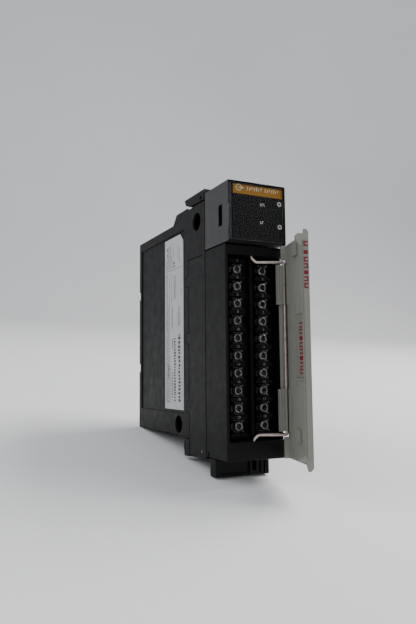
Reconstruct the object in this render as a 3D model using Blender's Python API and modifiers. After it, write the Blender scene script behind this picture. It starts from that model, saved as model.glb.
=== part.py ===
"""A slim analogue output module for a control rack: case, status head and plug-on terminal block.

Everything is laid out in millimetres from a datum at the front of the status head (y = 0)
and the underside of the terminal block (z = 0), with x = 0 on the middle plane.
The datum empty then puts the origin at the centre of the backplane plug's mating face.
"""

import math

import bmesh
import bpy
from mathutils import Matrix, Vector

MM = 0.001
GAP = 0.3

# Driving dimensions, in millimetres
WIDTH = 35.0
HALF = WIDTH / 2
CASE_REAR = 135.0
CASE_TOP = 136.1
CASE_SHOULDER = 141.8
CASE_BOTTOM = 8.6
WALL = 1.5
FRAME_FRONT = 28.4
FRAME_REAR = 50.2
FRAME_BOTTOM = -1.3
FRAME_TOP = 110.1
HEAD_BOTTOM = 112.2
HEAD_TOP = 144.5
HEAD_REAR = 28.0
BLOCK_FRONT = 4.0
BLOCK_REAR = 27.9
BLOCK_TOP = 111.5
WELL_BOTTOM = 9.4
WELL_TOP = 106.0
WELL_FLOOR = 12.5
PLUG_REAR = 139.0
PLUG_Z = 72.0

ROWS = 10
PITCH = 9.14
FIRST_ROW = 17.0
COLUMN_X = 7.7

WIRE_R = 0.85
BAIL_PIVOT = (-0.8, 6.0)
HINGE = (15.6, -0.1)
ARM_LOW = 12.5
ARM_HIGH = 102.9
DOOR_OPEN = math.radians(75)
DOOR_LENGTH = 31.0

LATCH_HOLE_R = 1.1
LATCH_PIN_R = 0.8
TOP_PIVOT = (33.2, 143.4)
LOW_PIVOT = (34.7, 2.2)

BOARD_X = 7.4
BOARD_THICK = 1.6


# Scene set-up

def clear_scene():
    for old in list(bpy.data.objects):
        bpy.data.objects.remove(old)


def new_collection(name):
    made = bpy.data.collections.new(name)
    bpy.context.scene.collection.children.link(made)
    return made


clear_scene()
PARTS = new_collection("output_module")
CUTTERS = new_collection("cutters")


def new_empty(name, location, parent=None, turn=0.0):
    empty = bpy.data.objects.new(name, None)
    empty.location = Vector(location) * MM
    empty.rotation_euler.z = turn
    empty.parent = parent
    PARTS.objects.link(empty)
    return empty


DATUM = new_empty("datum", (0, -PLUG_REAR, -PLUG_Z))
BAIL_AXIS = new_empty("bail_axis", (*BAIL_PIVOT, 0), DATUM)
DOOR_AXIS = new_empty(
    "door_axis",
    (HINGE[0] - BAIL_PIVOT[0], HINGE[1] - BAIL_PIVOT[1], 0),
    BAIL_AXIS,
    DOOR_OPEN,
)


def material(name, colour, roughness, metallic=0.0):
    made = bpy.data.materials.new(name)
    made.use_nodes = True
    shader = made.node_tree.nodes["Principled BSDF"]
    shader.inputs["Base Color"].default_value = (*colour, 1)
    shader.inputs["Roughness"].default_value = roughness
    shader.inputs["Metallic"].default_value = metallic
    return made


CASE_GREY = material("case_grey", (0.045, 0.045, 0.047), 0.55)
BLOCK_BLACK = material("block_black", (0.012, 0.012, 0.013), 0.5)
LENS = material("smoked_lens", (0.05, 0.055, 0.06), 0.15)
AMBER = material("amber_card", (0.62, 0.28, 0.01), 0.5)
CARD = material("black_card", (0.012, 0.012, 0.013), 0.6)
CLEAR = material("light_pipe", (0.8, 0.8, 0.8), 0.2)
DOOR_GREY = material("door_grey", (0.36, 0.36, 0.32), 0.5)
STEEL = material("plated_steel", (0.6, 0.58, 0.55), 0.3, 1.0)
PAPER = material("label_paper", (0.7, 0.72, 0.73), 0.6)
BOARD_GREEN = material("board_green", (0.02, 0.12, 0.05), 0.5)
CHIP_BLACK = material("chip_black", (0.02, 0.02, 0.02), 0.4)
ALUMINIUM = material("can_aluminium", (0.6, 0.6, 0.62), 0.35, 1.0)


# Shapes

def object_from(bm, name, paint, parent):
    mesh = bpy.data.meshes.new(name)
    bm.to_mesh(mesh)
    bm.free()
    made = bpy.data.objects.new(name, mesh)
    made.parent = parent
    if paint:
        mesh.materials.append(paint)
        PARTS.objects.link(made)
    else:
        CUTTERS.objects.link(made)
        made.hide_render = True
        made.display_type = "WIRE"
    return made


def box(name, low, high, paint=None, parent=DATUM):
    """A block between two corners."""
    low, high = Vector(low), Vector(high)
    bm = bmesh.new()
    place = Matrix.Translation((low + high) / 2 * MM)
    place = place @ Matrix.Diagonal((*((high - low) * MM), 1))
    bmesh.ops.create_cube(bm, size=1, matrix=place)
    return object_from(bm, name, paint, parent)


TURNS = {
    "x": Matrix.Rotation(math.pi / 2, 4, "Y"),
    "y": Matrix.Rotation(-math.pi / 2, 4, "X"),
    "z": Matrix.Identity(4),
}


def rod(name, start, axis, length, radius, paint=None, parent=DATUM, sides=24, end_radius=None):
    """A round bar that runs from start along +axis."""
    bm = bmesh.new()
    turn = TURNS[axis]
    middle = Vector(start) * MM + turn @ Vector((0, 0, length / 2 * MM))
    bmesh.ops.create_cone(
        bm,
        cap_ends=True,
        segments=sides,
        radius1=radius * MM,
        radius2=(end_radius if end_radius else radius) * MM,
        depth=length * MM,
        matrix=Matrix.Translation(middle) @ turn,
    )
    return object_from(bm, name, paint, parent)


def side_plate(name, outline, x_low, x_high, paint=None, parent=DATUM):
    """A flat outline of (y, z) points, given thickness from x_low to x_high."""
    curve = bpy.data.curves.new(name, "CURVE")
    curve.dimensions = "2D"
    curve.fill_mode = "BOTH"
    curve.extrude = (x_high - x_low) / 2 * MM
    spline = curve.splines.new("POLY")
    spline.points.add(len(outline) - 1)
    spline.use_cyclic_u = True
    for point, (y, z) in zip(spline.points, outline):
        point.co = (y * MM, z * MM, 0, 1)
    flat = bpy.data.objects.new(name + "_outline", curve)
    # The curve's own x and y become the part's y and z
    flat.matrix_world = Matrix(
        ((0, 0, 1, (x_low + x_high) / 2 * MM), (1, 0, 0, 0), (0, 1, 0, 0), (0, 0, 0, 1))
    )
    CUTTERS.objects.link(flat)
    bm = bmesh_from_curve(flat)
    return object_from(bm, name, paint, parent)


def bmesh_from_curve(curve_object):
    """Its closed mesh, with the curve's matrix applied. The curve is removed."""
    bpy.context.view_layer.update()
    graph = bpy.context.evaluated_depsgraph_get()
    mesh = bpy.data.meshes.new_from_object(curve_object.evaluated_get(graph))
    bm = bmesh.new()
    bm.from_mesh(mesh)
    bmesh.ops.transform(bm, matrix=curve_object.matrix_world, verts=bm.verts)
    bmesh.ops.remove_doubles(bm, verts=bm.verts, dist=1e-6)
    bmesh.ops.recalc_face_normals(bm, faces=bm.faces)
    bpy.data.objects.remove(curve_object)
    return bm


def soften(part, width, segments=2):
    bevel = part.modifiers.new("edges", "BEVEL")
    bevel.width = width * MM
    bevel.segments = segments
    bevel.limit_method = "ANGLE"
    bevel.angle_limit = math.radians(40)


def boolean(part, other, operation):
    made = part.modifiers.new(other.name, "BOOLEAN")
    made.operation = operation
    made.solver = "EXACT"
    made.object = other


def cut(part, *others):
    for other in others:
        boolean(part, other, "DIFFERENCE")


def join(part, *others):
    for other in others:
        boolean(part, other, "UNION")


# Case

EAR_X = (6.5, 8.5)
HOLES = ((38.7, 130.7), (65.8, 14.8))
HOLE_R = 5.2
SNAP_ROWS = (97.8, 64.7, 25.7)
SNAP_HEIGHT = 5.8
SNAP_REACH = 3.6
COVER_FRONT = 50.5
NECK_FRONT = 32.5
UNDER_LATCH = 140.6
LABEL = {"y": (58.5, 87.2), "z": (23.2, 128.6), "chamfer": 4.4}
PANEL_Y = (56.5, 130.8)
PANEL_Z = (21.4, 130.2)
PANEL_DEPTH = 0.75


def case_outline(inset=0.0, open_front=0.0):
    """The case seen from its side, shrunk by inset and with its front run forward by open_front."""
    front = COVER_FRONT - open_front
    neck = NECK_FRONT - open_front
    return [
        (front, CASE_BOTTOM + inset),
        (CASE_REAR - inset, CASE_BOTTOM + inset),
        (CASE_REAR - inset, CASE_TOP - inset),
        (73.6 - inset / 2, CASE_TOP - inset),
        (68.2 - inset / 2, CASE_SHOULDER - inset),
        (52.0 + inset, CASE_SHOULDER - inset),
        (52.0 + inset, UNDER_LATCH - inset),
        (neck, UNDER_LATCH - inset),
        (neck, FRAME_TOP + GAP + (inset if open_front == 0 else 0)),
        (front, FRAME_TOP + GAP + (inset if open_front == 0 else 0)),
    ]


def make_left_cover():
    cover = side_plate("left_side_cover", case_outline(), -HALF, -HALF + WALL, CASE_GREY)
    soften(cover, 0.4)
    cut(
        cover,
        box(
            "cover_panel_cut",
            (-HALF - 1, PANEL_Y[0], PANEL_Z[0]),
            (-HALF + PANEL_DEPTH, PANEL_Y[1], PANEL_Z[1]),
        ),
    )
    for i, (y, z) in enumerate(HOLES):
        cut(cover, rod(f"cover_hole_{i}", (-HALF - 1, y, z), "x", WALL + 2, HOLE_R, sides=40))
    for i, z in enumerate(SNAP_ROWS):
        half = SNAP_HEIGHT / 2 + GAP
        low = (-HALF - 1, COVER_FRONT - 1, z - half)
        high = (-HALF + WALL + 1, COVER_FRONT + SNAP_REACH, z + half)
        cut(cover, box(f"cover_snap_notch_{i}", low, high))
    for i, z in enumerate((99.0, 49.0)):
        low = (-HALF - 1, CASE_REAR - 2.2, z - 2.6)
        high = (-HALF + 0.9, CASE_REAR + 1, z + 2.6)
        cut(cover, box(f"cover_rear_notch_{i}", low, high))


def make_label():
    (front, rear), (low, high) = LABEL["y"], LABEL["z"]
    chamfer = LABEL["chamfer"]
    outline = [
        (front, low),
        (rear, low),
        (rear, high),
        (front + chamfer, high),
        (front, high - chamfer),
    ]
    outer = -HALF + 0.15
    side_plate("rating_label", outline, outer, -HALF + PANEL_DEPTH - GAP, PAPER)


def make_case_shell():
    left = -HALF + WALL + GAP
    shell = side_plate("case_shell", case_outline(), left, HALF, CASE_GREY)
    soften(shell, 0.4)
    cut(
        shell,
        side_plate("shell_hollow", case_outline(WALL, 1.0), left - 1, HALF - WALL),
        box(
            "plug_window",
            (-8, CASE_REAR - WALL - 1, PLUG_Z - 15),
            (8, CASE_REAR + 1, PLUG_Z + 15),
        ),
    )
    for side, x in (("left", -EAR_X[1]), ("right", EAR_X[0])):
        low = (x - GAP, NECK_FRONT - 1, UNDER_LATCH - WALL - 1)
        high = (x + EAR_X[1] - EAR_X[0] + GAP, TOP_PIVOT[0] + 2.0, UNDER_LATCH + 1)
        cut(shell, box(f"ear_notch_{side}", low, high))
    vent_count = 7
    for i in range(vent_count):
        y = 82 + 7 * i
        cut(shell, box(f"top_vent_{i}", (-11, y, CASE_TOP - 3), (11, y + 2.6, CASE_TOP + 1)))
        low = (-11, y, CASE_BOTTOM - 1)
        cut(shell, box(f"bottom_vent_{i}", low, (11, y + 2.6, CASE_BOTTOM + 3)))


# Front frame, which carries the terminal block and both latches

RISER_REAR = 32.2
RISER_TOP = 140.4
EAR_TOP = 144.9


def make_front_frame():
    frame = box(
        "front_frame",
        (-HALF, FRAME_FRONT, FRAME_BOTTOM),
        (HALF, FRAME_REAR, FRAME_TOP),
        CASE_GREY,
    )
    soften(frame, 0.4)
    inner = HALF - WALL
    riser = box(
        "frame_riser",
        (-HALF, FRAME_FRONT, FRAME_TOP - 2),
        (HALF, RISER_REAR, RISER_TOP),
    )
    ears = [
        box(
            f"latch_ear_{side}",
            (x, TOP_PIVOT[0] - 2.0, RISER_TOP - 1),
            (x + EAR_X[1] - EAR_X[0], TOP_PIVOT[0] + 1.2, EAR_TOP),
        )
        for side, x in (("left", -EAR_X[1]), ("right", EAR_X[0]))
    ]
    join(frame, riser)
    for i, z in enumerate(SNAP_ROWS):
        low = (-HALF, FRAME_REAR - 2, z - SNAP_HEIGHT / 2)
        high = (-HALF + WALL, FRAME_REAR + SNAP_REACH, z + SNAP_HEIGHT / 2)
        join(frame, box(f"snap_{i}", low, high))
    join(frame, *ears)
    cut(
        frame,
        box("frame_hollow", (-inner, 30.4, 9.0), (inner, FRAME_REAR + 1, FRAME_TOP - WALL)),
        box(
            "board_pass",
            (-inner + 2, 32.6, FRAME_TOP - 4),
            (inner - 2, FRAME_REAR + 1, FRAME_TOP + 1),
        ),
        box("low_latch_bay", (-inner, 29.9, -5), (inner, FRAME_REAR + 1, 7.4)),
        box("header_window", (-12, FRAME_FRONT - 1, 12), (12, 31, 104)),
        box("riser_window", (-14, FRAME_FRONT - 1, 114), (15.7, RISER_REAR + 1, 137)),
        rod("low_pin_bore", (-HALF - 1, *LOW_PIVOT), "x", WIDTH + 2, LATCH_HOLE_R),
        rod("top_pin_bore", (-12, *TOP_PIVOT), "x", 24, LATCH_HOLE_R),
    )


def make_top_latch():
    """A rocker on top of the case, whose rear end hooks the rack."""
    outline = [
        (22.9, 144.95),
        (24.7, 145.9),
        (28.6, 147.3),
        (56.0, 147.4),
        (54.4, 144.0),
        (48.4, 141.7),
        (29.4, 141.7),
        (29.4, 144.95),
    ]
    latch = side_plate("top_latch", outline, -HALF + 0.1, HALF - 0.1, CASE_GREY)
    soften(latch, 0.25, 1)
    for side, x in (("left", -EAR_X[1]), ("right", EAR_X[0])):
        low = (x - GAP, TOP_PIVOT[0] - 2.6, 141)
        high = (x + EAR_X[1] - EAR_X[0] + GAP, TOP_PIVOT[0] + 2.0, EAR_TOP + 0.6)
        cut(latch, box(f"ear_slot_{side}", low, high))
    cut(
        latch,
        box("top_latch_relief", (-14, 37, 141), (14, 46, 145.6)),
        rod("top_latch_bore", (-HALF - 1, *TOP_PIVOT), "x", WIDTH + 2, LATCH_HOLE_R),
    )
    rod("top_latch_pin", (-HALF + 1, *TOP_PIVOT), "x", WIDTH - 2, LATCH_PIN_R, STEEL)


def make_bottom_latch():
    """The matching rocker under the case."""
    outline = [
        (31.0, -1.4),
        (46.8, -2.2),
        (57.4, -2.4),
        (58.3, 3.0),
        (57.6, 7.4),
        (51.0, 7.4),
        (50.6, 4.9),
        (31.0, 4.9),
    ]
    inner = HALF - WALL - GAP
    latch = side_plate("bottom_latch", outline, -inner, inner, CASE_GREY)
    soften(latch, 0.25, 1)
    hook_outline = [(50.9, -2.2), (57.3, -2.35), (58.2, 3.0), (57.5, 7.3), (50.9, 7.3)]
    hook = side_plate("bottom_hook", hook_outline, -HALF + 0.1, HALF - 0.1)
    join(latch, hook)
    cut(
        latch,
        box("low_latch_relief", (-13, 38, -3), (13, 47, 3.2)),
        rod("low_latch_bore", (-HALF - 1, *LOW_PIVOT), "x", WIDTH + 2, LATCH_HOLE_R),
    )
    start = (-HALF + GAP, *LOW_PIVOT)
    rod("bottom_latch_pin", start, "x", WIDTH - 2 * GAP, LATCH_PIN_R, STEEL)


# Status head

PIPE_X = 14.0
PIPE_ROWS = {"upper": 134.9, "lower": 122.3}
PIPE_R = 1.25
CARD_Y = (1.4, 2.0)
BAND_BOTTOM = 138.0


def make_status_head():
    lens = box("status_lens", (-HALF, 0, HEAD_BOTTOM), (HALF, HEAD_REAR, HEAD_TOP), LENS)
    soften(lens, 0.5)
    cut(
        lens,
        box(
            "lens_hollow",
            (-HALF + 0.9, 0.9, HEAD_BOTTOM + 0.9),
            (HALF - 0.9, HEAD_REAR + 1, HEAD_TOP - 0.9),
        ),
        box("lens_side_slots", (-HALF - 1, 6.9, 121.5), (HALF + 1, 11.0, 132.9)),
    )
    low = (-HALF + 1.5, 2.3, HEAD_BOTTOM + 1.5)
    high = (HALF - 1.5, HEAD_REAR, HEAD_TOP - 1.5)
    housing = box("status_housing", low, high, BLOCK_BLACK)
    soften(housing, 0.3)
    cut(
        housing,
        box(
            "housing_hollow",
            (low[0] + WALL, low[1] + WALL, low[2] + WALL),
            (high[0] - WALL, high[1] + 1, high[2] - WALL),
        ),
    )
    card = box(
        "status_card",
        (-14.2, CARD_Y[0], HEAD_BOTTOM + 1.4),
        (HALF - 1.2, CARD_Y[1], BAND_BOTTOM - GAP),
        CARD,
    )
    box(
        "function_band",
        (-13.8, CARD_Y[0], BAND_BOTTOM),
        (HALF - 1.2, CARD_Y[1], HEAD_TOP - 1.4),
        AMBER,
    )
    for name, z in PIPE_ROWS.items():
        bore = rod(f"pipe_bore_{name}", (PIPE_X, CARD_Y[0] - 0.2, z), "y", 30, PIPE_R + GAP)
        cut(card, bore)
        cut(housing, bore)
        rod(f"light_pipe_{name}", (PIPE_X, CARD_Y[0], z), "y", 31.0, PIPE_R, CLEAR)
        low = (BOARD_X + BOARD_THICK + GAP, 32.9, z - 1.4)
        led = box(f"led_{name}", low, (PIPE_X + 1.3, 35.2, z + 1.4), CLEAR)
        soften(led, 0.3, 1)


# Electronics inside the case

def make_board():
    outline = [
        (33, 12),
        (131.5, 12),
        (131.5, 133),
        (32.6, 133),
        (32.6, 113),
        (33, 113),
    ]
    side_plate("main_board", outline, BOARD_X, BOARD_X + BOARD_THICK, BOARD_GREEN)
    top = BOARD_X - GAP
    for i in range(4):
        z = 22 + 22 * i
        chip = box(f"output_chip_{i + 1}", (top - 2.4, 58, z), (top, 70, z + 9), CHIP_BLACK)
        soften(chip, 0.3, 1)
    converter = box("power_converter", (top - 11, 92, 98), (top, 118, 122), CHIP_BLACK)
    soften(converter, 0.6)
    for i in range(2):
        can = rod(f"capacitor_{i + 1}", (top - 12, 104 + 14 * i, 36), "x", 12, 4.2, ALUMINIUM)
        soften(can, 0.5)
    coil = box("isolation_transformer", (top - 9, 80, 56), (top, 96, 74), CHIP_BLACK)
    soften(coil, 0.8)


def make_backplane_plug():
    reach = 7.0
    plug = box(
        "backplane_plug",
        (-reach, 124, PLUG_Z - 13.5),
        (BOARD_X - GAP, PLUG_REAR, PLUG_Z + 13.5),
        CHIP_BLACK,
    )
    soften(plug, 0.4)
    for i, x in enumerate((-4.2, 2.2)):
        low = (x, PLUG_REAR - 6, PLUG_Z - 11.5)
        cut(plug, box(f"plug_slot_{i}", low, (x + 2.0, PLUG_REAR + 1, PLUG_Z + 11.5)))


def make_pin_header():
    header = box("pin_header", (-11.7, 28.6, 12.3), (11.7, 31.5, 103.7), CHIP_BLACK)
    for side, x in (("left", -COLUMN_X), ("right", COLUMN_X)):
        for i in range(ROWS):
            z = FIRST_ROW + PITCH * i
            low = (x - 0.4, 22.2, z - 0.4)
            join(header, box(f"pin_{side}_{i}", low, (x + 0.4, 29.5, z + 0.4)))


# Terminal block

SCREW_FACE = 9.2
HEAD_R = 2.6
HEAD_THICK = 2.0
SHANK_R = 1.25


def make_screw(name, x, z):
    screw = rod(name, (x, SCREW_FACE, z), "y", HEAD_THICK, HEAD_R, STEEL, sides=20)
    soften(screw, 0.3, 1)
    start = (x, SCREW_FACE + HEAD_THICK - 0.2, z)
    join(screw, rod(name + "_shank", start, "y", 8.6, SHANK_R, sides=12))
    reach, half = 1.5, 0.3
    low_y, high_y = SCREW_FACE - 0.5, SCREW_FACE + 1.0
    cut(
        screw,
        box(name + "_slot_a", (x - reach, low_y, z - half), (x + reach, high_y, z + half)),
        box(name + "_slot_b", (x - half, low_y, z - reach), (x + half, high_y, z + reach)),
    )


def make_terminal_base():
    base = box(
        "terminal_base",
        (-HALF + 1.9, WELL_FLOOR, WELL_BOTTOM + 0.6),
        (HALF - 1.9, BLOCK_REAR - 0.5, WELL_TOP - 0.6),
        BLOCK_BLACK,
    )
    rib_front = 8.9
    rib_half = 0.9
    for side, x in (("left", -COLUMN_X), ("right", COLUMN_X)):
        for i in range(ROWS + 1):
            z = FIRST_ROW + PITCH * (i - 0.5)
            low = (x - 4.9, rib_front, z - rib_half)
            high = (x + 4.9, WELL_FLOOR + 1, z + rib_half)
            join(base, box(f"rib_{side}_{i}", low, high))
    low_z = FIRST_ROW - PITCH / 2 - rib_half
    high_z = FIRST_ROW + PITCH * (ROWS - 0.5) + rib_half
    join(base, box("middle_wall", (-0.8, 8.2, low_z), (0.8, WELL_FLOOR + 1, high_z)))
    for side, x in (("left", -COLUMN_X), ("right", COLUMN_X)):
        low, high = (x - 1.1, 21.0, 14), (x + 1.1, BLOCK_REAR + 1, 102.5)
        cut(base, box(f"socket_{side}", low, high))
        for i in range(ROWS):
            z = FIRST_ROW + PITCH * i
            start = (x, WELL_FLOOR - 1, z)
            bore = rod(f"screw_bore_{side}_{i}", start, "y", 8.9, SHANK_R + GAP, sides=12)
            cut(base, bore)
            make_screw(f"terminal_screw_{side}_{i + 1}", x, z)


def make_terminal_housing():
    housing = box(
        "terminal_housing",
        (-HALF, BLOCK_FRONT, 0),
        (HALF, BLOCK_REAR, BLOCK_TOP),
        BLOCK_BLACK,
    )
    soften(housing, 0.5)
    left, right = -HALF + WALL, HALF - 1.4
    cut(
        housing,
        box("well", (left, BLOCK_FRONT - 1, WELL_BOTTOM), (right, WELL_FLOOR, WELL_TOP)),
        box(
            "base_bay",
            (-HALF + 1.6, WELL_FLOOR - 0.5, WELL_BOTTOM + 0.3),
            (HALF - 1.6, BLOCK_REAR + 1, WELL_TOP - 0.3),
        ),
        box(
            "low_right_edge",
            (right - 0.5, BLOCK_FRONT - 1, WELL_BOTTOM),
            (HALF + 1, BLOCK_FRONT + 2.5, WELL_TOP),
        ),
        box("side_notch", (-HALF - 1, 24.4, -1), (-HALF + 2, 25.8, 3.0)),
        rod("bail_bore_high", (*BAIL_PIVOT, WELL_TOP - 1), "z", 4.8, WIRE_R + GAP),
        rod("bail_bore_low", (*BAIL_PIVOT, WELL_BOTTOM - 4.8), "z", 5.8, WIRE_R + GAP),
    )


def make_tie_bar():
    bar = box("cable_tie_bar", (-HALF, 17.0, -9.5), (14.8, 24.0, -GAP), BLOCK_BLACK)
    soften(bar, 0.6)
    cut(
        bar,
        box("tie_slot", (4.1, 16, -7.0), (6.6, 25, -1.5)),
        box("tie_recess", (-14.2, 16, -8.2), (2.8, 18.2, -1.6)),
        box("tie_groove_a", (8.4, 16, -8.2), (9.4, 18.4, -1.6)),
        box("tie_groove_b", (11.2, 16, -8.2), (12.2, 18.4, -1.6)),
    )


# Bail wire and door

def rounded_route(corners, radius, steps):
    """A polyline whose inner corners are replaced by short curves."""
    points = [Vector(corners[0])]
    for before, corner, after in zip(corners, corners[1:], corners[2:]):
        corner = Vector(corner)
        start = corner + (Vector(before) - corner).normalized() * radius
        end = corner + (Vector(after) - corner).normalized() * radius
        for i in range(steps + 1):
            t = i / steps
            points.append(start * (1 - t) ** 2 + corner * 2 * t * (1 - t) + end * t**2)
    points.append(Vector(corners[-1]))
    return points


def make_bail():
    to_hinge = Vector((HINGE[0] - BAIL_PIVOT[0], HINGE[1] - BAIL_PIVOT[1], 0))
    knee = to_hinge * 0.12
    corners = [
        (0, 0, 109.4),
        (0, 0, 105.2),
        (knee.x, knee.y, ARM_HIGH),
        (to_hinge.x, to_hinge.y, ARM_HIGH),
        (to_hinge.x, to_hinge.y, ARM_LOW),
        (knee.x, knee.y, ARM_LOW),
        (0, 0, 10.2),
        (0, 0, 5.6),
    ]
    route = rounded_route(corners, 1.1, 4)
    curve = bpy.data.curves.new("bail_wire", "CURVE")
    curve.dimensions = "3D"
    curve.bevel_depth = WIRE_R * MM
    curve.bevel_resolution = 3
    curve.use_fill_caps = True
    spline = curve.splines.new("POLY")
    spline.points.add(len(route) - 1)
    for point, place in zip(spline.points, route):
        point.co = (*(place * MM), 1)
    wire = bpy.data.objects.new("bail_wire_curve", curve)
    CUTTERS.objects.link(wire)
    object_from(bmesh_from_curve(wire), "bail_wire", STEEL, BAIL_AXIS)


# The door is laid out closed, about its hinge wire: x runs back to the wire, y into the block
DOOR_INNER = -1.35
DOOR_OUTER = -2.65
DOOR_LOW = 0.3
DOOR_HIGH = 112.0
CLIPS = ((14.3, 35.9), (80.1, 101.1))
PULL_X = (-25.7, -14.8)
PAD_X = (-19.3, -13.5)
EDGE_OUTLINE = [
    (-2.65, -0.6),
    (-1.2, -2.0),
    (-0.2, -2.0),
    (1.0, 2.6),
    (3.6, 2.6),
    (4.1, 3.4),
    (1.0, 6.2),
    (1.0, 105.0),
    (3.9, 108.6),
    (4.1, 110.4),
    (2.8, 111.7),
    (-0.4, 111.7),
    (-0.4, 114.0),
    (-1.6, 114.0),
    (-2.65, 112.6),
]


def make_door():
    far = -DOOR_LENGTH
    door = box(
        "terminal_door",
        (far + 0.2, DOOR_OUTER, DOOR_LOW),
        (1.75, DOOR_INNER, DOOR_HIGH),
        DOOR_GREY,
        DOOR_AXIS,
    )
    edge = side_plate("door_edge", EDGE_OUTLINE, far, far + 1.4, parent=DOOR_AXIS)
    join(door, edge)
    for i, (low, high) in enumerate(CLIPS):
        block = box(f"clip_block_{i}", (-1.95, -1.6, low), (1.75, 1.9, high), parent=DOOR_AXIS)
        tail = box(f"clip_tail_{i}", (-1.95, 1.5, low), (-0.5, 4.8, high), parent=DOOR_AXIS)
        join(door, block, tail)
        start = (0, 0, low - 1)
        bore = rod(f"clip_bore_{i}", start, "z", high - low + 2, WIRE_R + GAP, parent=DOOR_AXIS)
        mouth = box(f"clip_mouth_{i}", (-3, -0.7, low - 1), (0, 0.7, high + 1), parent=DOOR_AXIS)
        cut(door, bore, mouth)
        for k in range(3):
            y = 1.45 + 1.3 * k
            low_corner, high_corner = (-2.5, y, low + 0.8), (-1.6, y + 0.5, high - 0.8)
            cut(door, box(f"clip_groove_{i}_{k}", low_corner, high_corner, parent=DOOR_AXIS))
    for i, (low, high) in enumerate(((DOOR_LOW, 11.2), (104.2, DOOR_HIGH))):
        low_corner, high_corner = (0.5, DOOR_INNER - 0.4, low), (1.75, 1.3, high)
        join(door, box(f"hinge_lip_{i}", low_corner, high_corner, parent=DOOR_AXIS))
    low_corner = (WIRE_R + GAP + 0.05, DOOR_INNER - 0.4, CLIPS[0][1] - 0.4)
    high_corner = (1.65, 1.3, CLIPS[1][0] + 0.4)
    join(door, box("middle_lip", low_corner, high_corner, parent=DOOR_AXIS))
    for i, (low, high) in enumerate(((9.8, 16.4), (103.4, 110.4))):
        low_corner, high_corner = (PAD_X[0], DOOR_INNER - 0.4, low), (PAD_X[1], -0.1, high)
        join(door, box(f"latch_pad_{i}", low_corner, high_corner, parent=DOOR_AXIS))
    box(
        "door_edge_label",
        (far - GAP - 0.35, -2.0, 4.0),
        (far - GAP, 0.5, 108.0),
        DOOR_GREY,
        DOOR_AXIS,
    )
    box(
        "pull_label",
        (PULL_X[0], DOOR_INNER + GAP, 42.0),
        (PULL_X[1], DOOR_INNER + GAP + 0.4, 73.0),
        DOOR_GREY,
        DOOR_AXIS,
    )


make_left_cover()
make_label()
make_case_shell()
make_front_frame()
make_top_latch()
make_bottom_latch()
make_status_head()
make_board()
make_backplane_plug()
make_pin_header()
make_terminal_base()
make_terminal_housing()
make_tie_bar()
make_bail()
make_door()
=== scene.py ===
import math
import random

import bmesh
import bpy
from mathutils import Matrix, Vector


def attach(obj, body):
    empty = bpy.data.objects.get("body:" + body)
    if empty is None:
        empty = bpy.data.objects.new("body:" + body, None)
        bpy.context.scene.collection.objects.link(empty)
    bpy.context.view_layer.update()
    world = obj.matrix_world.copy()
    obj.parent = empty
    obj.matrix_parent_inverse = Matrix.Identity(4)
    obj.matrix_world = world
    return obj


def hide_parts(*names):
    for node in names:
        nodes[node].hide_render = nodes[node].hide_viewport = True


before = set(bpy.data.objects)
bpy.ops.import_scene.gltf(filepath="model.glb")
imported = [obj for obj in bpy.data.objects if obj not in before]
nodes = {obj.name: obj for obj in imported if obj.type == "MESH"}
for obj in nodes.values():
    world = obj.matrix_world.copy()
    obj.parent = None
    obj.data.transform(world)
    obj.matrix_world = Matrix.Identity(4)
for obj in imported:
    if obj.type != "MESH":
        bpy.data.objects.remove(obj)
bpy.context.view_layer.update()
print("frame loaded:", len(nodes), "CAD nodes")

mm = 0.001
# Places are in millimetres, from the status head's front and the terminal block's underside
datum = {"rear": 139.0, "height": 72.0}
doorAxis = {"x": 15.6, "y": -0.1, "open": math.radians(75)}


def place(x, y, z):
    return Vector((x, y - datum["rear"], z - datum["height"])) * mm


def doorPlace(x, y, z):
    # as if the door were closed: x runs back to the hinge wire and y into the block
    c, s = math.cos(doorAxis["open"]), math.sin(doorAxis["open"])
    return place(doorAxis["x"] + x * c - y * s, doorAxis["y"] + x * s + y * c, z)


# Ways to lay a drawing on a face: across, up and depth become a place on the object
def onFront(across, up, depth):
    return place(across, depth, up)


def onSide(across, up, depth):
    return place(depth, across, up)


def onTop(across, up, depth):
    return place(across, up, depth)


def onDoorInside(across, up, depth):
    return doorPlace(across, depth, up)


def onDoorEdge(across, up, depth):
    return doorPlace(depth, across, up)


# Camera

cameraSetup = {
    "place": (-0.16228, -0.41203, -0.02887),
    "yaw": math.radians(25.93),
    "pitch": math.radians(5.93),
    "roll": math.radians(-0.474),
    "lens": 35.415,
    "sensor": 36.0,
}


def makeCamera(setup):
    yaw, pitch, roll = setup["yaw"], setup["pitch"], setup["roll"]
    ahead = Vector((math.sin(yaw) * math.cos(pitch), math.cos(yaw) * math.cos(pitch), math.sin(pitch)))
    right = Vector((math.cos(yaw), -math.sin(yaw), 0))
    up = right.cross(ahead)
    across = right * math.cos(roll) + up * math.sin(roll)
    upright = up * math.cos(roll) - right * math.sin(roll)
    data = bpy.data.cameras.new("studioCamera")
    data.lens = setup["lens"]
    data.sensor_width = setup["sensor"]
    data.clip_start, data.clip_end = 0.01, 20
    camera = bpy.data.objects.new("studioCamera", data)
    bpy.context.scene.collection.objects.link(camera)
    turn = Matrix((across, upright, -ahead)).transposed().to_4x4()
    camera.matrix_world = Matrix.Translation(setup["place"]) @ turn
    bpy.context.scene.camera = camera


makeCamera(cameraSetup)
print("camera placed")


# Materials

def startPaint(name, fixed):
    # a new material, its node tree, its shader and the coordinates that stick to the piece
    made = bpy.data.materials.new(name)
    made.use_nodes = True
    tree = made.node_tree
    shader = tree.nodes["Principled BSDF"]
    for socket, value in fixed.items():
        shader.inputs[socket].default_value = value
    coords = tree.nodes.new("ShaderNodeTexCoord").outputs["Object"]
    return made, tree, shader, coords


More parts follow.
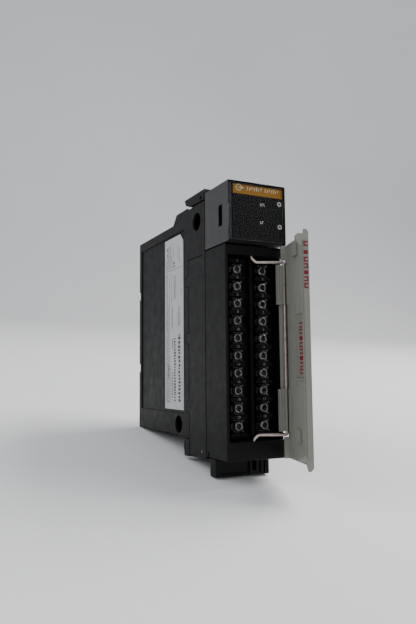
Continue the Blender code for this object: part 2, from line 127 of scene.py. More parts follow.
def addNoise(tree, coords, size, detail=3.0, rough=0.55, stretch=None):
    # size is how large the patches are, in millimetres
    if stretch:
        mapping = tree.nodes.new("ShaderNodeMapping")
        mapping.inputs["Scale"].default_value = stretch
        tree.links.new(coords, mapping.inputs["Vector"])
        coords = mapping.outputs["Vector"]
    noise = tree.nodes.new("ShaderNodeTexNoise")
    noise.inputs["Scale"].default_value = 1 / (size * mm)
    noise.inputs["Detail"].default_value = detail
    noise.inputs["Roughness"].default_value = rough
    tree.links.new(coords, noise.inputs["Vector"])
    return noise.outputs["Fac"]


def addRange(tree, source, low, high, start=0.3, end=0.7):
    made = tree.nodes.new("ShaderNodeMapRange")
    for socket, value in (("From Min", start), ("From Max", end), ("To Min", low), ("To Max", high)):
        made.inputs[socket].default_value = value
    tree.links.new(source, made.inputs["Value"])
    return made.outputs["Result"]


def addRamp(tree, source, stops):
    # stops is a list of (position, colour)
    ramp = tree.nodes.new("ShaderNodeValToRGB")
    elements = ramp.color_ramp.elements
    while len(elements) < len(stops):
        elements.new(0.5)
    for element, (position, colour) in zip(elements, stops):
        element.position = position
        element.color = (*colour, 1)
    tree.links.new(source, ramp.inputs["Fac"])
    return ramp.outputs["Color"]


def addMath(tree, kind, first, second):
    made = tree.nodes.new("ShaderNodeMath")
    made.operation = kind
    for socket, value in zip(made.inputs, (first, second)):
        if isinstance(value, (int, float)):
            socket.default_value = value
        else:
            tree.links.new(value, socket)
    return made.outputs[0]


def addBump(tree, shader, source, depth, strength, edge=0.0):
    # depth is in millimetres, and edge rounds the look of sharp corners by that radius
    bump = tree.nodes.new("ShaderNodeBump")
    bump.inputs["Distance"].default_value = depth * mm
    bump.inputs["Strength"].default_value = strength
    tree.links.new(source, bump.inputs["Height"])
    if edge:
        bevel = tree.nodes.new("ShaderNodeBevel")
        bevel.samples = 4
        bevel.inputs["Radius"].default_value = edge * mm
        tree.links.new(bevel.outputs["Normal"], bump.inputs["Normal"])
    tree.links.new(bump.outputs["Normal"], shader.inputs["Normal"])


def shade(colour, factor):
    return tuple(min(1.0, channel * factor) for channel in colour)


def mouldedPlastic(name, look):
    # base colour with slow drift and pale scuffs, uneven sheen and a fine moulded grain
    fixed = {"IOR": look.get("ior", 1.5), "Specular IOR Level": look.get("shine", 0.5)}
    if "coat" in look:
        fixed["Coat Weight"] = look["coat"]
        fixed["Coat Roughness"] = 0.2
    made, tree, shader, coords = startPaint(name, fixed)
    drift = addNoise(tree, coords, look.get("patch", 14), 3)
    speck = addNoise(tree, coords, look.get("speck", 0.9), 5, 0.7)
    mixed = addMath(tree, "MULTIPLY_ADD", speck, 0.35)
    tree.links.new(drift, mixed.node.inputs[2])
    vary, colour = look.get("vary", 0.12), look["colour"]
    stops = [
        (0.38, shade(colour, 1 - vary)),
        (0.7, colour),
        (0.86, shade(colour, 1 + vary)),
        (0.98, shade(colour, 1 + 2.2 * vary)),
    ]
    tree.links.new(addRamp(tree, mixed, stops), shader.inputs["Base Color"])
    rough, spread = look["rough"], look.get("spread", 0.08)
    worn = addNoise(tree, coords, look.get("worn", 6), 4, 0.65)
    tree.links.new(addRange(tree, worn, rough - spread, rough + spread), shader.inputs["Roughness"])
    grain = addNoise(tree, coords, look.get("grain", 0.32), 4, 0.6)
    addBump(tree, shader, grain, look.get("depth", 0.05), look.get("relief", 0.35), look.get("edge", 0.18))
    return made


def platedMetal(name, look):
    fixed = {"Metallic": 1.0, "IOR": 2.2}
    made, tree, shader, coords = startPaint(name, fixed)
    patch = addNoise(tree, coords, look.get("patch", 1.6), 4, 0.6, look.get("stretch"))
    colour = look["colour"]
    stops = [(0.32, shade(colour, 0.72)), (0.52, colour), (0.72, shade(colour, 1.12))]
    tree.links.new(addRamp(tree, patch, stops), shader.inputs["Base Color"])
    fine = addNoise(tree, coords, look.get("fine", 0.4), 5, 0.7, look.get("stretch"))
    rough, spread = look["rough"], look.get("spread", 0.1)
    tree.links.new(addRange(tree, fine, rough - spread, rough + spread), shader.inputs["Roughness"])
    addBump(tree, shader, fine, look.get("depth", 0.02), look.get("relief", 0.3), look.get("edge", 0.15))
    return made


def printedInk(name, colour, rough=0.5):
    made, tree, shader, coords = startPaint(name, {"Specular IOR Level": 0.3})
    cover = addNoise(tree, coords, 0.35, 4, 0.7)
    stops = [(0.3, shade(colour, 0.78)), (0.6, colour), (0.8, shade(colour, 1.15))]
    tree.links.new(addRamp(tree, cover, stops), shader.inputs["Base Color"])
    tree.links.new(addRange(tree, cover, rough - 0.06, rough + 0.06), shader.inputs["Roughness"])
    addBump(tree, shader, cover, 0.01, 0.2)
    return made


caseGrey = mouldedPlastic("case_grey", {
    "colour": (0.0095, 0.0095, 0.0097), "rough": 0.52, "shine": 0.13, "patch": 26, "grain": 0.42,
    "relief": 0.45,
})
frameGrey = mouldedPlastic("frame_grey", {
    "colour": (0.011, 0.011, 0.0112), "rough": 0.52, "shine": 0.13, "patch": 30, "grain": 0.42,
    "relief": 0.45,
})
blockBlack = mouldedPlastic("block_black", {
    "colour": (0.0035, 0.0035, 0.0036), "rough": 0.44, "shine": 0.14, "vary": 0.2, "patch": 9, "grain": 0.3,
    "relief": 0.25,
})
# a rougher, lighter copy of the block's black for its outer side faces; the lighter colour is painted light
# where those faces catch the light
blockSideLit = mouldedPlastic("block_side_lit", {
    "colour": (0.0085, 0.0085, 0.0087), "rough": 0.52, "shine": 0.13, "patch": 22, "grain": 0.42,
    "relief": 0.4,
})
lensSide = mouldedPlastic("lens_side", {
    "colour": (0.026, 0.027, 0.0285), "rough": 0.42, "spread": 0.06, "shine": 0.3, "vary": 0.16, "patch": 3.2,
    "speck": 0.5, "grain": 0.5, "depth": 0.04, "relief": 0.5, "coat": 0.15,
})
doorGrey = mouldedPlastic("door_grey", {
    "colour": (0.21, 0.21, 0.185), "rough": 0.42, "shine": 0.4, "vary": 0.05, "patch": 18, "speck": 1.4,
    "grain": 0.5, "relief": 0.2, "edge": 0.25,
})
labelPlate = mouldedPlastic("label_plate", {
    "colour": (0.185, 0.181, 0.158), "rough": 0.38, "shine": 0.5, "vary": 0.04, "grain": 0.8, "relief": 0.12,
})
cardBlack = mouldedPlastic("card_black", {
    "colour": (0.003, 0.003, 0.0031), "rough": 0.55, "shine": 0.12, "vary": 0.25, "patch": 5, "grain": 0.25,
    "relief": 0.15,
})
amberCard = mouldedPlastic("amber_card", {
    "colour": (0.31, 0.148, 0.006), "rough": 0.5, "shine": 0.3, "vary": 0.06, "patch": 4, "speck": 0.4,
    "grain": 0.2, "relief": 0.1,
})
labelPaper = mouldedPlastic("label_paper", {
    "colour": (0.43, 0.44, 0.452), "rough": 0.48, "shine": 0.4, "vary": 0.05, "patch": 8, "speck": 0.5,
    "grain": 0.22, "relief": 0.12, "edge": 0.0,
})
boardGreen = mouldedPlastic("board_green", {
    "colour": (0.012, 0.085, 0.032), "rough": 0.35, "shine": 0.5, "vary": 0.35, "patch": 1.8, "grain": 0.6,
})
chipBlack = mouldedPlastic("chip_black", {
    "colour": (0.012, 0.012, 0.012), "rough": 0.45, "vary": 0.15, "patch": 3, "grain": 0.2, "relief": 0.3,
})
pipeClear = mouldedPlastic("light_pipe", {
    "colour": (0.045, 0.045, 0.047), "rough": 0.2, "spread": 0.06, "shine": 0.5, "vary": 0.1, "grain": 0.6,
    "relief": 0.1, "coat": 0.6,
})
canAluminium = platedMetal("can_aluminium", {
    "colour": (0.62, 0.62, 0.64), "rough": 0.34, "stretch": (0.15, 1, 1),
})
wireNickel = platedMetal("wire_nickel", {
    "colour": (0.45, 0.385, 0.352), "rough": 0.32, "patch": 2.4, "spread": 0.09, "edge": 0.0,
})
screwSteel = platedMetal("screw_steel", {
    "colour": (0.09, 0.09, 0.089), "rough": 0.25, "patch": 0.9, "spread": 0.12, "relief": 0.55,
    "depth": 0.04,
})
# brighter steel for the rings on the screw heads: a painted highlight
rimHighlightSteel = platedMetal("rim_highlight_steel", {
    "colour": (0.2, 0.2, 0.195), "rough": 0.24, "patch": 0.9, "spread": 0.1, "relief": 0.5, "depth": 0.04,
})
plateSteel = platedMetal("plate_steel", {
    "colour": (0.1, 0.1, 0.102), "rough": 0.24, "patch": 1.2, "spread": 0.1, "edge": 0.1,
})
contactGold = platedMetal("contact_gold", {
    "colour": (0.78, 0.55, 0.22), "rough": 0.25, "patch": 1.0,
})
inkDark = printedInk("ink_dark", (0.03, 0.031, 0.034))
inkGrey = printedInk("ink_grey", (0.075, 0.077, 0.083))
inkPale = printedInk("ink_pale", (0.62, 0.62, 0.6))
inkDim = printedInk("ink_dim", (0.2, 0.2, 0.19))
inkCream = printedInk("ink_cream", (0.85, 0.72, 0.5))
inkRed = printedInk("ink_red", (0.17, 0.004, 0.008))


def clearLens():
    # smoked window: mostly see-through, with faint smears in its gloss
    made, tree, shader, coords = startPaint("lens_front", {"Alpha": 0.1, "IOR": 1.45})
    smear = addNoise(tree, coords, 5, 4, 0.6, (1, 1, 0.35))
    stops = [(0.3, (0.008, 0.0085, 0.01)), (0.7, (0.02, 0.021, 0.024))]
    tree.links.new(addRamp(tree, smear, stops), shader.inputs["Base Color"])
    tree.links.new(addRange(tree, smear, 0.06, 0.16), shader.inputs["Roughness"])
    addBump(tree, shader, smear, 0.02, 0.15)
    return made


lensFront = clearLens()
print("materials made:", len(bpy.data.materials))


def paintNode(name, paint):
    mesh = nodes[name].data
    mesh.materials.clear()
    mesh.materials.append(paint)


nodePaints = {
    caseGrey: ["left_side_cover", "case_shell", "top_latch", "bottom_latch"],
    frameGrey: ["front_frame"],
    blockBlack: ["status_housing", "terminal_base", "terminal_housing", "cable_tie_bar"],
    cardBlack: ["status_card"],
    amberCard: ["function_band"],
    labelPaper: ["rating_label"],
    labelPlate: ["door_edge_label", "pull_label"],
    doorGrey: ["terminal_door"],
    boardGreen: ["main_board"],
    chipBlack: [
        "output_chip_1", "output_chip_2", "output_chip_3", "output_chip_4",
        "power_converter", "isolation_transformer", "backplane_plug", "pin_header",
    ],
    pipeClear: ["light_pipe_upper", "light_pipe_lower", "led_upper", "led_lower"],
    canAluminium: ["capacitor_1", "capacitor_2"],
    screwSteel: [name for name in nodes if name.startswith("terminal_screw")],
    wireNickel: ["bail_wire", "top_latch_pin", "bottom_latch_pin"],
}
for paint, names in nodePaints.items():
    for name in names:
        paintNode(name, paint)


def paintSides(name, second, chosen):
    # gives the faces that chosen(face) picks the second material
    mesh = nodes[name].data
    mesh.materials.append(second)
    for face in mesh.polygons:
        if chosen(face):
            face.material_index = 1


paintNode("status_lens", lensSide)


def isLensFront(face):
    # both faces of the front wall, so the back of the hollow stays smoked
    return face.normal.y < -0.8 or (face.normal.y > 0.8 and face.center.y < place(0, 3, 0).y)


def isBlockSide(face):
    return abs(face.normal.x) > 0.8 and abs(face.center.x) > 17.3 * mm


paintSides("status_lens", lensFront, isLensFront)
# the block's outer side faces take the lighter copy of its black, painted light on them
paintSides("terminal_housing", blockSideLit, isBlockSide)
print("CAD nodes painted")


# Mesh helpers

def roundedTile(left, low, right, high, corner=0.25, steps=2):
    # outline of a rectangle with round corners
    corner = min(corner, (right - left) / 2.01, (high - low) / 2.01)
    points = []
    middles = ((right - corner, high - corner, 0), (left + corner, high - corner, 90),
               (left + corner, low + corner, 180), (right - corner, low + corner, 270))
    for x, z, start in middles:
        for i in range(steps + 1):
            angle = math.radians(start + 90 * i / steps)
            points.append((x + corner * math.cos(angle), z + corner * math.sin(angle)))
    return points


def prismInto(bm, outline, near, far, lay):
    # a closed slab between two depths
    rings = [[bm.verts.new(lay(a, b, depth)) for a, b in outline] for depth in (near, far)]
    bm.faces.new(rings[0])
    bm.faces.new(rings[1][::-1])
    count = len(outline)
    for i in range(count):
        k = (i + 1) % count
        bm.faces.new((rings[0][i], rings[1][i], rings[1][k], rings[0][k]))


def tubeInto(bm, route, radius, sides=16):
    # a round bar along a route, with slightly domed ends
    def frameAt(i):
        ahead = (route[min(i + 1, len(route) - 1)] - route[max(i - 1, 0)]).normalized()
        side = ahead.cross(Vector((0.31, 0.93, 0.17))).normalized()
        return side, ahead.cross(side), ahead
    rings = []
    ends = [(0, -0.45, 0.5), (0, -0.2, 0.88)] + [(i, 0, 1) for i in range(len(route))]
    ends += [(len(route) - 1, 0.2, 0.88), (len(route) - 1, 0.45, 0.5)]
    for i, push, size in ends:
        side, other, ahead = frameAt(i)
        middle = route[i] + ahead * push * radius
        rings.append([
            bm.verts.new(middle + (side * math.cos(t) + other * math.sin(t)) * radius * size)
            for t in (2 * math.pi * k / sides for k in range(sides))
        ])
    for first, second in zip(rings, rings[1:]):
        for k in range(sides):
            n = (k + 1) % sides
            bm.faces.new((first[k], first[n], second[n], second[k]))
    bm.faces.new(rings[0][::-1])
    bm.faces.new(rings[-1])


def ringInto(bm, middle, inner, outer, near, far, lay, sides=28, lift=0.0):
    # a flat ring whose middle line stands lift proud of its near face
    across, up = middle
    section = [(inner, far), (inner, near), ((inner + outer) / 2, near - lift), (outer, near), (outer, far)]
    rings = []
    for k in range(sides):
        t = 2 * math.pi * k / sides
        rings.append([
            bm.verts.new(lay(across + r * math.cos(t), up + r * math.sin(t), depth)) for r, depth in section
        ])
    for k in range(sides):
        first, second = rings[k], rings[(k + 1) % sides]
        for i in range(len(section)):
            n = (i + 1) % len(section)
            bm.faces.new((first[i], first[n], second[n], second[i]))


def finishPiece(bm, name, paint, body, smooth=False):
    bmesh.ops.recalc_face_normals(bm, faces=bm.faces)
    mesh = bpy.data.meshes.new(name)
    bm.to_mesh(mesh)
    bm.free()
    mesh.materials.append(paint)
    if smooth:
        for face in mesh.polygons:
            face.use_smooth = True
    piece = bpy.data.objects.new(name, mesh)
    bpy.context.scene.collection.objects.link(piece)
    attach(piece, body)
    return piece


# Terminal block

terminals = {"rows": 10, "pitch": 9.14, "first": 17.0, "columns": (-7.7, 7.7)}
clampPlate = {
    "wide": 3.6, "tall": 3.3, "hole": 1.45, "near": 11.35, "far": 12.1,
    "turned": 1.35, "turnStart": 2.3, "sides": 32,
}


def clampPlateInto(bm, x, z, look):
    # a square washer with a round hole and its outer corners turned forward
    sides = look["sides"]
    levels = (0.0, 0.45, 0.8, 1.0)
    grid = []
    for level in levels:
        row = []
        for k in range(sides):
            t = 2 * math.pi * k / sides
            c, s = math.cos(t), math.sin(t)
            reach = 1 / max(abs(c) / look["wide"], abs(s) / look["tall"])
            r = look["hole"] * (1 - level) + reach * level
            across, up = r * c, r * s
            rise = max(0.0, abs(across) - look["turnStart"]) * max(0.0, abs(up) - 1.4)
            lift = look["turned"] * min(1.0, rise / 1.5)
            depths = (look["near"] - lift, look["far"] - lift)
            row.append([bm.verts.new(onFront(x + across, z + up, depth)) for depth in depths])
        grid.append(row)
    for k in range(sides):
        n = (k + 1) % sides
        for a, b in zip(grid, grid[1:]):
            bm.faces.new((a[k][0], a[n][0], b[n][0], b[k][0]))
            bm.faces.new((a[k][1], b[k][1], b[n][1], a[n][1]))
        for row in (grid[0], grid[-1]):
            bm.faces.new((row[k][0], row[n][0], row[n][1], row[k][1]))


def makeClampPlates():
    for side, x in zip(("left", "right"), terminals["columns"]):
        bm = bmesh.new()
        for i in range(terminals["rows"]):
            clampPlateInto(bm, x, terminals["first"] + terminals["pitch"] * i, clampPlate)
        finishPiece(bm, f"clamp_plates_{side}", plateSteel, "terminal_block")


screwHighlightRims = {"inner": 1.55, "outer": 2.15, "near": 9.16, "far": 9.3, "lift": 0.12}


def makeScrewRims(look):
    # a raised ring on every screw head in brighter steel, a painted highlight for the glints the heads catch
    bm = bmesh.new()
    for x in terminals["columns"]:
        for i in range(terminals["rows"]):
            middle = (x, terminals["first"] + terminals["pitch"] * i)
            radii, depths = (look["inner"], look["outer"]), (look["near"], look["far"])
            ringInto(bm, middle, *radii, *depths, onFront, 24, look["lift"])
    finishPiece(bm, "screw_highlight_rims", rimHighlightSteel, "terminal_block")


numerals = {"size": 2.0, "front": 8.86, "thick": 0.05, "rise": 4.57}


def figureInto(bm, text, size, thick, matrix):
    # the figures come from Blender's own font, turned into a mesh
    curve = bpy.data.curves.new("figures", "FONT")
    curve.body = text
    curve.size = size * mm
    curve.extrude = thick / 2 * mm
    curve.align_x, curve.align_y = "CENTER", "CENTER"
    curve.resolution_u = 3
    holder = bpy.data.objects.new("figures", curve)
    bpy.context.scene.collection.objects.link(holder)
    bpy.context.view_layer.update()
    mesh = bpy.data.meshes.new_from_object(holder.evaluated_get(bpy.context.evaluated_depsgraph_get()))
    mesh.transform(matrix)
    bm.from_mesh(mesh)
    bpy.data.objects.remove(holder)
    bpy.data.meshes.remove(mesh)


def makeNumerals(look):
    bm = bmesh.new()
    upright = Matrix(((1, 0, 0), (0, 0, -1), (0, 1, 0))).to_4x4()
    for column, x in enumerate(terminals["columns"]):
        for i in range(terminals["rows"]):
            number = 2 * (terminals["rows"] - i) - column
            z = terminals["first"] + terminals["pitch"] * i + look["rise"]
            turn = Matrix.Translation(place(x, look["front"], z)) @ upright
            figureInto(bm, str(number), look["size"], look["thick"], turn)
    finishPiece(bm, "terminal_numerals", inkDim, "terminal_block")


makeClampPlates()
makeScrewRims(screwHighlightRims)
makeNumerals(numerals)
print("terminal plates and numerals made")


# Bail wire, smoother than its CAD solid and in the same place

bail = {
    "pivot": (-0.8, 6.0), "hinge": (15.6, -0.1), "radius": 0.85, "bend": 1.25,
    "top": 109.4, "topKnee": 105.2, "high": 102.9, "low": 12.5, "lowKnee": 10.2, "foot": 5.6,
}


def roundedRoute(corners, radius, steps):
    points = [corners[0]]
    for before, corner, after in zip(corners, corners[1:], corners[2:]):
        start = corner + (before - corner).normalized() * radius
        end = corner + (after - corner).normalized() * radius
        for i in range(steps + 1):
            t = i / steps
            points.append(start * (1 - t) ** 2 + corner * 2 * t * (1 - t) + end * t ** 2)
    points.append(corners[-1])
    return points


def makeBail(look):
    (px, py), (hx, hy) = look["pivot"], look["hinge"]
    kneeX, kneeY = px + (hx - px) * 0.12, py + (hy - py) * 0.12
    corners = [
        place(px, py, look["top"]),
        place(px, py, look["topKnee"]),
        place(kneeX, kneeY, look["high"]),
        place(hx, hy, look["high"]),
        place(hx, hy, look["low"]),
        place(kneeX, kneeY, look["low"]),
        place(px, py, look["lowKnee"]),
        place(px, py, look["foot"]),
    ]
    bm = bmesh.new()
    tubeInto(bm, roundedRoute(corners, look["bend"] * mm, 7), look["radius"] * mm, 20)
    piece = finishPiece(bm, "bail_wire_round", wireNickel, "bail", smooth=True)
    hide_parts("bail_wire")


makeBail(bail)
print("bail wire made")


# Status head: the band's sign and strokes, the card's marks, the pipe rings and the lens ribs

band = {
    "near": 1.33, "far": 1.38, "sign": (-10.35, 141.35), "signOuter": 1.75, "signInner": 1.4,
    "strokes": ((-5.4, 4.3, 7), (5.6, 14.4, 7)), "foot": 140.3, "top": 142.3,
}


def makeBandMarks(look):
    bm = bmesh.new()
    near, far = look["near"], look["far"]
    x, z = look["sign"]
    ringInto(bm, look["sign"], look["signInner"], look["signOuter"], near, far, onFront)
    prismInto(bm, roundedTile(x - 0.4, z - 0.16, x + 1.9, z + 0.16, 0.1), near - 0.02, far, onFront)
    prismInto(bm, [(x + 1.5, z - 0.75), (x + 3.0, z), (x + 1.5, z + 0.75)], near - 0.02, far, onFront)
    # two runs of plain strokes stand where a legend would be
    for start, end, count in look["strokes"]:
        step = (end - start) / count
        for i in range(count):
            left = start + step * i
            high = look["top"] - (0.0, 0.55, 0.0, 0.3)[i % 4]
            low = look["foot"] + (0.0, 0.0, 0.5, 0.0)[i % 4]
            wide = step * (0.52, 0.7, 0.4)[i % 3]
            prismInto(bm, roundedTile(left, low, left + wide * 0.5, high, 0.1), near, far, onFront)
            bar = roundedTile(left, high - 0.42, left + wide, high, 0.1)
            prismInto(bm, bar, near - 0.01, far, onFront)
    finishPiece(bm, "band_marks", inkCream, "module")


cardMarks = {
    "near": 1.34, "far": 1.385, "rows": (133.4, 123.7), "start": 2.4, "widths": (0.75, 0.95, 0.6),
    "high": 1.5, "gap": 0.3,
}
# The rings stand half a millimetre right of the light pipes' middle
pipeRings = {"x": 14.5, "rows": (134.9, 122.3), "inner": 0.7, "outer": 1.3, "near": 1.3, "far": 1.385}


def makeCardMarks(look):
    bm = bmesh.new()
    for row, z in enumerate(look["rows"]):
        left = look["start"]
        for i, wide in enumerate(look["widths"][: 3 - row]):
            low = z - look["high"] / 2
            post = roundedTile(left, low, left + 0.3, low + look["high"], 0.1)
            prismInto(bm, post, look["near"], look["far"], onFront)
            level = low + (look["high"] - 0.32) * (i % 2)
            bar = roundedTile(left, level, left + wide, level + 0.32, 0.1)
            prismInto(bm, bar, look["near"] - 0.01, look["far"], onFront)
            left += wide + look["gap"]
    finishPiece(bm, "card_marks", inkPale, "module")


def makePipeRings(look):
    bm = bmesh.new()
    for z in look["rows"]:
        radii, depths = (look["inner"], look["outer"]), (look["near"], look["far"])
        ringInto(bm, (look["x"], z), *radii, *depths, onFront, 32, 0.1)
    finishPiece(bm, "pipe_rings", inkPale, "module", smooth=True)


lensRibs = {
    # across, depth, foot, top
    "places": ((-17.46, 2.1, 121.1, 131.4), (-17.3, 0.16, 120.6, 130.8), (16.15, 1.16, 127.8, 132.8)),
    "radius": 0.16,
}


def makeLensRibs(look):
    bm = bmesh.new()
    for x, y, low, high in look["places"]:
        route = [place(x, y, low + (high - low) * i / 4) for i in range(5)]
        tubeInto(bm, route, look["radius"] * mm, 10)
    finishPiece(bm, "lens_ribs", pipeClear, "module", smooth=True)


# Behind the lens front its thick walls show as a grey rim
lensRim = {
    "outer": (-16.55, 113.15, 16.55, 143.55), "wide": (1.5, 0.5, 0.35, 0.4), "near": 0.93, "far": 1.33,
}


def makeLensRim(look):
    left, low, right, high = look["outer"]
    west, south, east, north = look["wide"]
    outer = [(left, low), (right, low), (right, high), (left, high)]
    inner = [(left + west, low + south), (right - east, low + south),
             (right - east, high - north), (left + west, high - north)]
    bm = bmesh.new()
    rings = [[bm.verts.new(onFront(a, b, depth)) for a, b in outline]
             for outline, depth in ((outer, look["near"]), (inner, look["near"]), (inner, look["far"]),
                                    (outer, look["far"]))]
    for first, second in zip(rings, rings[1:] + rings[:1]):
        for k in range(4):
            n = (k + 1) % 4
            bm.faces.new((first[k], first[n], second[n], second[k]))
    finishPiece(bm, "lens_rim", lensSide, "module")


makeBandMarks(band)
makeCardMarks(cardMarks)
makePipeRings(pipeRings)
makeLensRibs(lensRibs)
makeLensRim(lensRim)
print("status head details made")


# Rating label: ruled boxes, lines of short dashes and rows of heavier blocks, none of it lettering

ratingPrint = {
    "near": -17.39, "far": -17.34, "seed": 11,
    # across, width, foot, top, dash shortest and longest, gap
    "fineLines": (
        (84.9, 0.9, 27.0, 107.0, 0.4, 1.6, 0.35), (83.3, 0.9, 27.0, 107.0, 0.4, 1.8, 0.35),
        (81.6, 0.9, 27.0, 88.0, 0.4, 1.6, 0.35), (79.9, 0.9, 27.0, 104.0, 0.4, 1.4, 0.4),
        (78.2, 0.8, 27.0, 50.0, 0.4, 1.4, 0.4), (76.4, 0.8, 88.0, 106.0, 0.4, 1.6, 0.5),
        (72.6, 1.0, 90.0, 105.0, 0.3, 1.0, 0.3), (71.1, 1.0, 90.0, 105.0, 0.3, 1.0, 0.3),
        (69.6, 0.9, 90.0, 105.0, 0.3, 1.0, 0.3), (66.6, 0.9, 73.0, 85.0, 0.3, 1.0, 0.3),
        (65.1, 0.9, 73.0, 85.0, 0.3, 1.0, 0.3), (63.6, 0.9, 73.0, 85.0, 0.3, 1.0, 0.3),
        (61.6, 0.8, 90.5, 104.0, 0.8, 2.4, 0.6), (84.6, 0.9, 109.8, 116.0, 0.4, 1.4, 0.35),
        (82.8, 0.9, 109.8, 116.5, 0.4, 1.4, 0.35), (81.0, 0.9, 109.8, 124.0, 0.4, 1.4, 0.35),
        (79.2, 0.9, 109.8, 124.5, 0.4, 1.4, 0.35), (77.4, 0.9, 109.8, 125.0, 0.4, 1.4, 0.35),
        (75.4, 0.8, 110.0, 118.0, 0.4, 1.4, 0.4), (73.6, 0.8, 117.0, 125.5, 0.4, 1.4, 0.4),
        (66.0, 0.8, 114.0, 122.0, 0.4, 1.4, 0.4), (64.0, 0.8, 112.0, 121.0, 0.4, 1.4, 0.4),
    ),
    "heavyRows": (
        (64.6, 4.2, 28.0, 69.0, 0.7, 1.9, 0.65), (71.4, 3.2, 28.0, 66.0, 0.6, 1.4, 0.6),
        (75.4, 1.8, 30.0, 46.0, 0.6, 1.2, 0.5), (75.4, 1.8, 60.0, 66.0, 0.6, 1.2, 0.5),
        (75.4, 1.7, 72.0, 86.0, 0.5, 1.4, 0.5), (81.6, 2.2, 42.0, 50.0, 0.6, 1.2, 0.5),
        (83.0, 2.4, 117.6, 119.6, 0.7, 0.9, 0.4), (83.0, 2.4, 121.4, 123.6, 0.7, 0.9, 0.4),
        (72.4, 2.6, 110.0, 113.6, 0.9, 1.4, 0.5),
    ),
    "rules": ((59.6, 86.2, 108.5, 108.8), (60.3, 60.6, 30.0, 52.0)),
}


def makeRatingPrint(look):
    draw = random.Random(look["seed"])
    near, far = look["near"], look["far"]
    for name, lines, paint in (
        ("label_fine_print", look["fineLines"], inkGrey),
        ("label_heavy_print", look["heavyRows"], inkDark),
    ):
        bm = bmesh.new()
        for across, wide, low, high, short, long, gap in lines:
            z = low
            while z < high:
                run = draw.uniform(short, long)
                left = across - wide / 2 + draw.uniform(0, wide * 0.25)
                right = across + wide / 2 - draw.uniform(0, wide * 0.25)
                prismInto(bm, roundedTile(left, z, right, min(z + run, high), 0.12, 1), near, far, onSide)
                z += run + gap * draw.uniform(0.7, 1.6)
        if paint is inkGrey:
            for left, right, low, high in look["rules"]:
                prismInto(bm, roundedTile(left, low, right, high, 0.08, 1), near, far, onSide)
        finishPiece(bm, name, paint, "module")


makeRatingPrint(ratingPrint)
print("rating label print made")


# Door: plain red blocks on its edge and pull label, then the rails and hinge flange inside

edgeBlocks = {
    "near": -31.7, "far": -31.64, "left": -1.95, "right": 0.25, "high": 2.5, "bar": 0.72,
    "feet": [84.7, 87.9, 91.1, 94.3, 97.5, 101.0, 105.2],
}
pullBlocks = {
    "near": -0.6, "far": -0.655, "left": -25.4, "right": -20.5, "high": 2.6, "bar": 0.72,
    "feet": [43.6 + 3.25 * i for i in range(8)],
}


def makeRedBlocks(name, look, lay):
    # each block is a bar with a short step on one side, and every third is a plain tile
    bm = bmesh.new()
    left, right, bar = look["left"], look["right"], look["bar"]
    for i, low in enumerate(look["feet"]):
        high = low + look["high"]
        near, far = look["near"], look["far"]
        if i % 3 == 2:
            prismInto(bm, roundedTile(left, low + 0.3, right, high - 0.3, 0.3), near, far, lay)
            continue
        step = left if i % 2 else right - bar
        prismInto(bm, roundedTile(left, high - bar, right, high, 0.12), near, far, lay)
        prismInto(bm, roundedTile(left, low, right, low + bar, 0.12), near, far, lay)
        lifted = near + (0.01 if near > far else -0.01)
        prismInto(bm, roundedTile(step, low, step + bar, high, 0.12), lifted, far, lay)
    finishPiece(bm, name, inkRed, "door")


doorRails = {
    # across, foot, top, half width, rise
    "rails": ((-28.6, 1.5, 108.0, 0.28, 0.5), (-13.4, 37.5, 78.5, 0.2, 0.3), (-26.6, 2.0, 109.0, 0.22, 0.3),
              (-5.4, 2.0, 110.0, 0.3, 0.45)),
    "face": -1.38, "hingeFlange": (1.15, 1.6, 36.1, 79.9), "flangeDepth": (1.2, 2.7),
    "caps": ((-26.0, -14.4, 40.4, 41.6), (-26.0, -14.4, 73.4, 74.6)),
}


def makeDoorRails(look):
    bm = bmesh.new()
    face = look["face"]
    for across, low, high, half, rise in look["rails"]:
        rail = roundedTile(across - half, low, across + half, high, 0.2)
        prismInto(bm, rail, face, face + rise, onDoorInside)
    for left, right, low, high in look["caps"]:
        prismInto(bm, roundedTile(left, low, right, high, 0.3), face, face + 0.5, onDoorInside)
    left, right, low, high = look["hingeFlange"]
    prismInto(bm, roundedTile(left, low, right, high, 0.05), *look["flangeDepth"], onDoorInside)
    finishPiece(bm, "door_rails", doorGrey, "door")


makeRedBlocks("edge_red_blocks", edgeBlocks, onDoorEdge)
makeRedBlocks("pull_red_blocks", pullBlocks, onDoorInside)
makeDoorRails(doorRails)
print("door details made")


# Back of the module: contact fingers in the plug's slots

contacts = {
    "slots": (-3.2, 3.2), "count": 14, "pitch": 1.5, "low": 62.2, "half": 0.42, "front": 133.4, "rear": 138.6,
}


def makeContacts(look):
    bm = bmesh.new()
    for x in look["slots"]:
        for side in (-1, 1):
            for i in range(look["count"]):
                z = look["low"] + look["pitch"] * i
                wall = x + side * 0.98
                outline = [(wall, look["front"]), (wall, look["rear"]), (wall - side * 0.2, look["rear"] - 0.1),
                           (wall - side * 0.5, look["rear"] - 1.4), (wall - side * 0.3, look["front"])]
                prismInto(bm, outline, z - look["half"], z + look["half"], onTop)
    finishPiece(bm, "plug_contacts", contactGold, "module")


makeContacts(contacts)

# Thumb ridges on the top latch
latchRidges = {
    "top": [(24.9, 145.9), (26.2, 146.36), (27.5, 146.8)],
    "across": 13.5, "half": 0.3, "rise": 0.45,
}


def makeLatchRidges(look):
    bm = bmesh.new()
    for y, z in look["top"]:
        outline = [(y - look["half"], z - 0.3), (y + look["half"], z - 0.2),
                   (y + look["half"] * 0.5, z + look["rise"]), (y - look["half"] * 0.5, z + look["rise"] - 0.1)]
        prismInto(bm, outline, -look["across"], look["across"], onSide)
    finishPiece(bm, "top_latch_ridges", caseGrey, "top_latch")


makeLatchRidges(latchRidges)
print("rear contacts and latch ridges made")


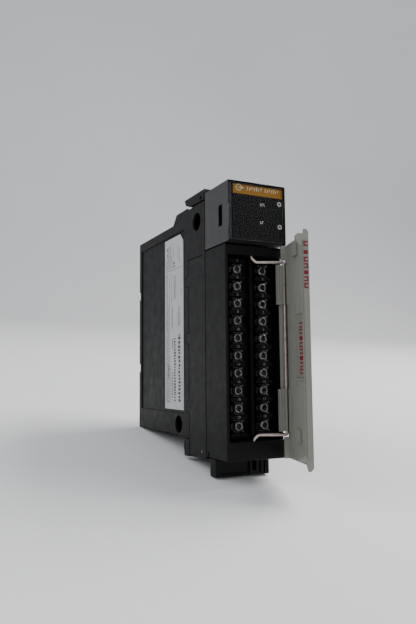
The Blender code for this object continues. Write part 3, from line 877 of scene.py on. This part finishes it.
# Floor with a sweep up to the backdrop. The module leans back,
# so the floor rises towards its rear edge

floorSetup = {
    "touch": ((24.0, -9.5), (135.0, 8.6)), "drop": 0.05, "back": 1.05, "radius": 0.6,
    "front": -1.6, "wall": 1.8, "half": 2.6,
}


def makeFloor(look):
    (y0, z0), (y1, z1) = look["touch"]
    base, rise = place(0, y0, z0), (place(0, y1, z1) - place(0, y0, z0)).normalized()
    up = Vector((1, 0, 0)).cross(rise)
    yaw = cameraSetup["yaw"]
    # the sweep squares up to the camera
    side = (Vector((1, 0, 0)) * math.cos(yaw) - rise * math.sin(yaw)).normalized()
    ahead = up.cross(side)
    origin = base - up * look["drop"] * mm
    profile = [(look["front"] + (look["back"] - look["front"]) * i / 12, 0) for i in range(13)]
    for i in range(1, 25):
        t = math.pi / 2 * i / 24
        profile.append((look["back"] + look["radius"] * math.sin(t), look["radius"] * (1 - math.cos(t))))
    profile.append((look["back"] + look["radius"], look["radius"] + look["wall"]))
    bm = bmesh.new()
    grid = [
        [bm.verts.new(origin + ahead * d + up * h + side * look["half"] * s) for s in (-1, -0.33, 0.33, 1)]
        for d, h in profile
    ]
    for a, b in zip(grid, grid[1:]):
        for k in range(3):
            bm.faces.new((a[k], a[k + 1], b[k + 1], b[k]))
    mesh = bpy.data.meshes.new("studio_sweep")
    bmesh.ops.recalc_face_normals(bm, faces=bm.faces)
    bm.to_mesh(mesh)
    bm.free()
    for face in mesh.polygons:
        face.use_smooth = True
    floor = bpy.data.objects.new("studio_sweep", mesh)
    bpy.context.scene.collection.objects.link(floor)
    made, tree, shader, coords = startPaint("studio_paper", {"Specular IOR Level": 0.15})
    cloud = addNoise(tree, coords, 260, 2)
    stops = [(0.3, (0.775, 0.78, 0.785)), (0.7, (0.8, 0.805, 0.81))]
    tree.links.new(addRamp(tree, cloud, stops), shader.inputs["Base Color"])
    tree.links.new(addRange(tree, cloud, 0.82, 0.92), shader.inputs["Roughness"])
    mesh.materials.append(made)
    return origin, side, ahead, up


floorOrigin, floorSide, floorAhead, floorUp = makeFloor(floorSetup)
print("floor and backdrop made")


# Lights are placed by distances to the right of the object, behind it and above the floor

lights = {
    "key": {"place": (0.6, 0.35, 0.85), "size": (0.8, 0.6), "power": 14.0, "tint": (1.0, 0.99, 0.97)},
    "left": {"place": (-0.9, -0.2, 0.7), "size": (0.9, 0.9), "power": 4.4, "tint": (0.97, 0.98, 1.0)},
    "front": {"place": (0.1, -1.1, 0.6), "size": (0.8, 0.5), "power": 1.2, "tint": (1.0, 1.0, 1.0)},
}
airLight = {"colour": (0.95, 0.965, 1.0), "strength": 0.66}


def makeLights():
    aim = floorOrigin + floorUp * 0.07
    for name, look in lights.items():
        data = bpy.data.lights.new(name + "_light", "AREA")
        data.shape = "RECTANGLE"
        data.size, data.size_y = look["size"]
        data.energy = look["power"]
        data.color = look["tint"]
        lamp = bpy.data.objects.new(name + "_light", data)
        bpy.context.scene.collection.objects.link(lamp)
        across, behind, above = look["place"]
        lamp.location = floorOrigin + floorSide * across + floorAhead * behind + floorUp * above
        lamp.rotation_euler = (aim - lamp.location).to_track_quat("-Z", "Y").to_euler()
    world = bpy.data.worlds.new("studio_air")
    bpy.context.scene.world = world
    world.use_nodes = True
    background = world.node_tree.nodes["Background"]
    background.inputs["Color"].default_value = (*airLight["colour"], 1)
    background.inputs["Strength"].default_value = airLight["strength"]


makeLights()
print("lights made")
